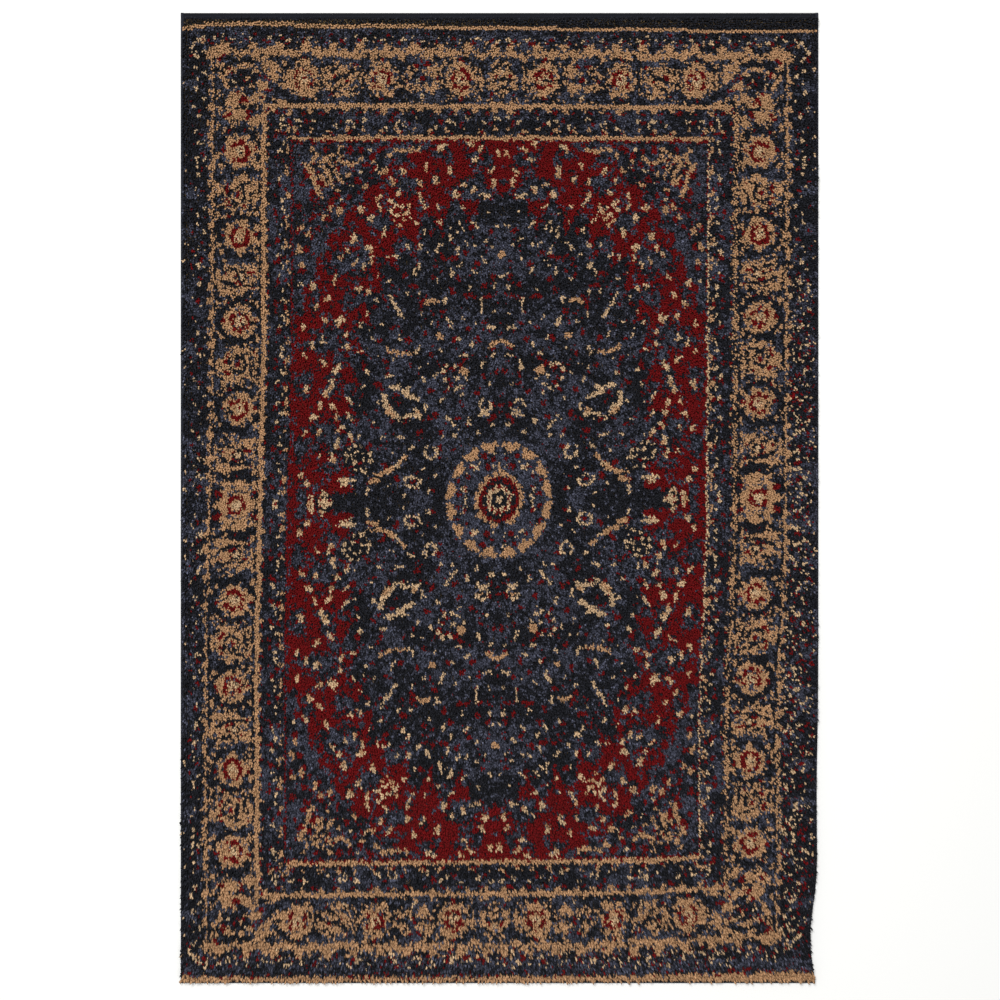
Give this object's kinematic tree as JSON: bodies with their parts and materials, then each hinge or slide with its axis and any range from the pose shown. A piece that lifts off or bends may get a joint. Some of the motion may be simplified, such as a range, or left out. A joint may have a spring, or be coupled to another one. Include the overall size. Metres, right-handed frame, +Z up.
{
  "type": "area rug",
  "caption": "Rectangular cut-pile area rug with a worn-look medallion design, overlocked sides and taped ends, lying flat on its latex-coated back.",
  "frame": {"origin": "on the floor under the middle of the rug", "axes": "+Y along the length towards the far end, +X across the width, +Z up through the pile. The pile leans towards -Y and slightly +X"},
  "size_m": [1.19, 1.81, 0.013],
  "materials": {
    "latex_back": "matt latex coating over the weave",
    "ground_yarn": "plain-woven jute and cotton ground yarn",
    "overlock_yarn": "wrapped navy overlock yarn",
    "tape": "plain-woven navy binding tape",
    "stitch_thread": "twisted sewing thread",
    "navy_pile": "cut pile of heat-set polypropylene yarn",
    "slate_pile": "cut pile of heat-set polypropylene yarn",
    "crimson_pile": "cut pile of heat-set polypropylene yarn",
    "tan_pile": "cut pile of heat-set polypropylene yarn"
  },
  "bodies": {
    "root": {"latex_backing": "latex_back", "ground_weave": "ground_yarn", "side_cord_right": "ground_yarn", "side_cord_left": "ground_yarn", "side_overlock_right": "overlock_yarn", "side_overlock_left": "overlock_yarn", "end_tape_far": "tape", "end_tape_near": "tape", "end_stitch_far": "stitch_thread", "end_stitch_near": "stitch_thread", "pile_end_line_far": "tan_pile", "pile_end_line_near": "tan_pile", "pile_outer_guard_far": "slate_pile", "pile_outer_guard_near": "slate_pile", "pile_outer_guard_right": "slate_pile", "pile_outer_guard_left": "slate_pile", "pile_main_border_far": "tan_pile", "pile_main_border_near": "tan_pile", "pile_main_border_right": "tan_pile", "pile_main_border_left": "tan_pile", "pile_inner_guard_far": "navy_pile", "pile_inner_guard_near": "navy_pile", "pile_inner_guard_right": "navy_pile", "pile_inner_guard_left": "navy_pile", "pile_field_line_far": "tan_pile", "pile_field_line_near": "tan_pile", "pile_field_line_right": "tan_pile", "pile_field_line_left": "tan_pile", "pile_spandrel_far_right": "slate_pile", "pile_spandrel_far_left": "slate_pile", "pile_spandrel_near_left": "slate_pile", "pile_spandrel_near_right": "slate_pile", "pile_red_arcade": "crimson_pile", "pile_dark_ground": "navy_pile", "pile_medallion_petals": "tan_pile", "pile_medallion_ground": "slate_pile", "pile_medallion_ring": "tan_pile", "pile_medallion_heart": "crimson_pile"}
  },
  "joints": []
}
